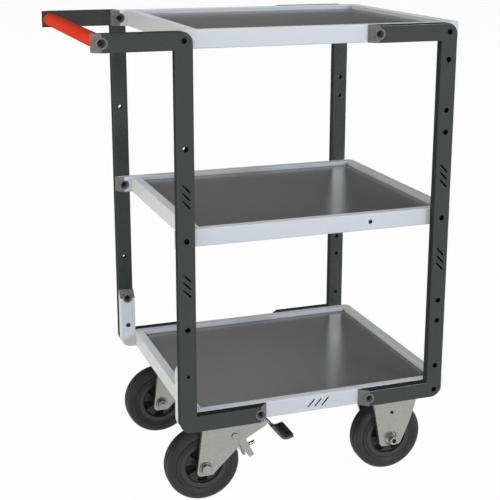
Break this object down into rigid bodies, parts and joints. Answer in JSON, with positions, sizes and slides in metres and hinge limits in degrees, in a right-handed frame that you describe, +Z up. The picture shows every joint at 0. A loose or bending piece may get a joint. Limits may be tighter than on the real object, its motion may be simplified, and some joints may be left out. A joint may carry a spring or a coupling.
{
  "type": "shelf trolley",
  "caption": "Shelf trolley of bent rectangular tube with tray shelves, a push grip, braked swivel casters at the grip end and fixed casters at the front.",
  "frame": {"origin": "middle of the footprint box, on the floor under the wheels", "axes": "+Z up, +X along the trolley away from the grip, +Y across it"},
  "size_m": [0.7556, 0.55, 0.997],
  "materials": {
    "frame_paint": "fine textured powder coat",
    "grip_paint": "satin powder coat",
    "rail_paint": "satin powder coat",
    "laminate": "satin laminate",
    "plug_plastic": "spark-eroded grain",
    "screw_steel": "blackened",
    "zinc": "zinc plated",
    "tyre_rubber": "matte",
    "rim_plastic": "matte",
    "bush_plastic": "plain",
    "pedal_plastic": "matte"
  },
  "bodies": {
    "chassis": {"near_handle_frame": "frame_paint", "far_handle_frame": "frame_paint", "near_front_frame": "frame_paint", "far_front_frame": "frame_paint", "handle_tube": "grip_paint", "top_near_rail": "rail_paint", "top_far_rail": "rail_paint", "top_rear_rail": "rail_paint", "top_front_rail": "rail_paint", "middle_near_rail": "rail_paint", "middle_far_rail": "rail_paint", "middle_rear_rail": "rail_paint", "middle_front_rail": "rail_paint", "bottom_near_rail": "rail_paint", "bottom_far_rail": "rail_paint", "bottom_rear_rail": "rail_paint", "bottom_front_rail": "rail_paint", "panel_ledges": "rail_paint", "rear_caster_beam": "rail_paint", "front_caster_beam": "rail_paint", "top_panel": "laminate", "middle_panel": "laminate", "bottom_panel": "laminate", "end_plugs": "plug_plastic", "frame_screws": "screw_steel", "threaded_inserts": "screw_steel", "caster_bolts": "screw_steel", "swivel_plates": "zinc", "kingpins": "zinc", "swivel_ball_rings": "zinc", "near_fixed_fork": "zinc", "far_fixed_fork": "zinc", "fixed_axles": "zinc", "fixed_axle_nuts": "zinc"},
    "near_swivel": {"near_swivel_fork": "zinc", "near_swivel_axle": "zinc", "near_swivel_axle_nut": "zinc", "near_brake_pin": "zinc"},
    "near_rear_wheel": {"near_rear_rim": "rim_plastic", "near_rear_tyre": "tyre_rubber", "near_rear_bush": "bush_plastic"},
    "near_front_wheel": {"near_front_rim": "rim_plastic", "near_front_tyre": "tyre_rubber", "near_front_bush": "bush_plastic"},
    "near_brake": {"near_brake_lever": "zinc", "near_brake_shoe": "zinc", "near_brake_pedal": "pedal_plastic"},
    "far_swivel": {"far_swivel_fork": "zinc", "far_swivel_axle": "zinc", "far_swivel_axle_nut": "zinc", "far_brake_pin": "zinc"},
    "far_rear_wheel": {"far_rear_rim": "rim_plastic", "far_rear_tyre": "tyre_rubber", "far_rear_bush": "bush_plastic"},
    "far_front_wheel": {"far_front_rim": "rim_plastic", "far_front_tyre": "tyre_rubber", "far_front_bush": "bush_plastic"},
    "far_brake": {"far_brake_lever": "zinc", "far_brake_shoe": "zinc", "far_brake_pedal": "pedal_plastic"}
  },
  "joints": [
    {"name": "near_caster_swivel", "type": "hinge", "parent": "chassis", "child": "near_swivel", "pos_m": [-0.11475, -0.176, 0.18], "axis": [0, 0, 1], "continuous": true},
    {"name": "near_rear_wheel_spin", "type": "hinge", "parent": "near_swivel", "child": "near_rear_wheel", "pos_m": [-0.15275, -0.176, 0.08], "axis": [0, 1, 0], "continuous": true},
    {"name": "near_front_wheel_spin", "type": "hinge", "parent": "chassis", "child": "near_front_wheel", "pos_m": [0.27725, -0.176, 0.08], "axis": [0, 1, 0], "continuous": true},
    {"name": "near_brake_tip", "type": "hinge", "parent": "near_swivel", "child": "near_brake", "pos_m": [-0.08876, -0.176, 0.14399], "axis": [0, 1, 0], "range_deg": [0, 8]},
    {"name": "far_caster_swivel", "type": "hinge", "parent": "chassis", "child": "far_swivel", "pos_m": [-0.11475, 0.176, 0.18], "axis": [0, 0, 1], "continuous": true},
    {"name": "far_rear_wheel_spin", "type": "hinge", "parent": "far_swivel", "child": "far_rear_wheel", "pos_m": [-0.15275, 0.176, 0.08], "axis": [0, 1, 0], "continuous": true},
    {"name": "far_front_wheel_spin", "type": "hinge", "parent": "chassis", "child": "far_front_wheel", "pos_m": [0.27725, 0.176, 0.08], "axis": [0, 1, 0], "continuous": true},
    {"name": "far_brake_tip", "type": "hinge", "parent": "far_swivel", "child": "far_brake", "pos_m": [-0.08876, 0.176, 0.14399], "axis": [0, 1, 0], "range_deg": [0, 8]}
  ]
}
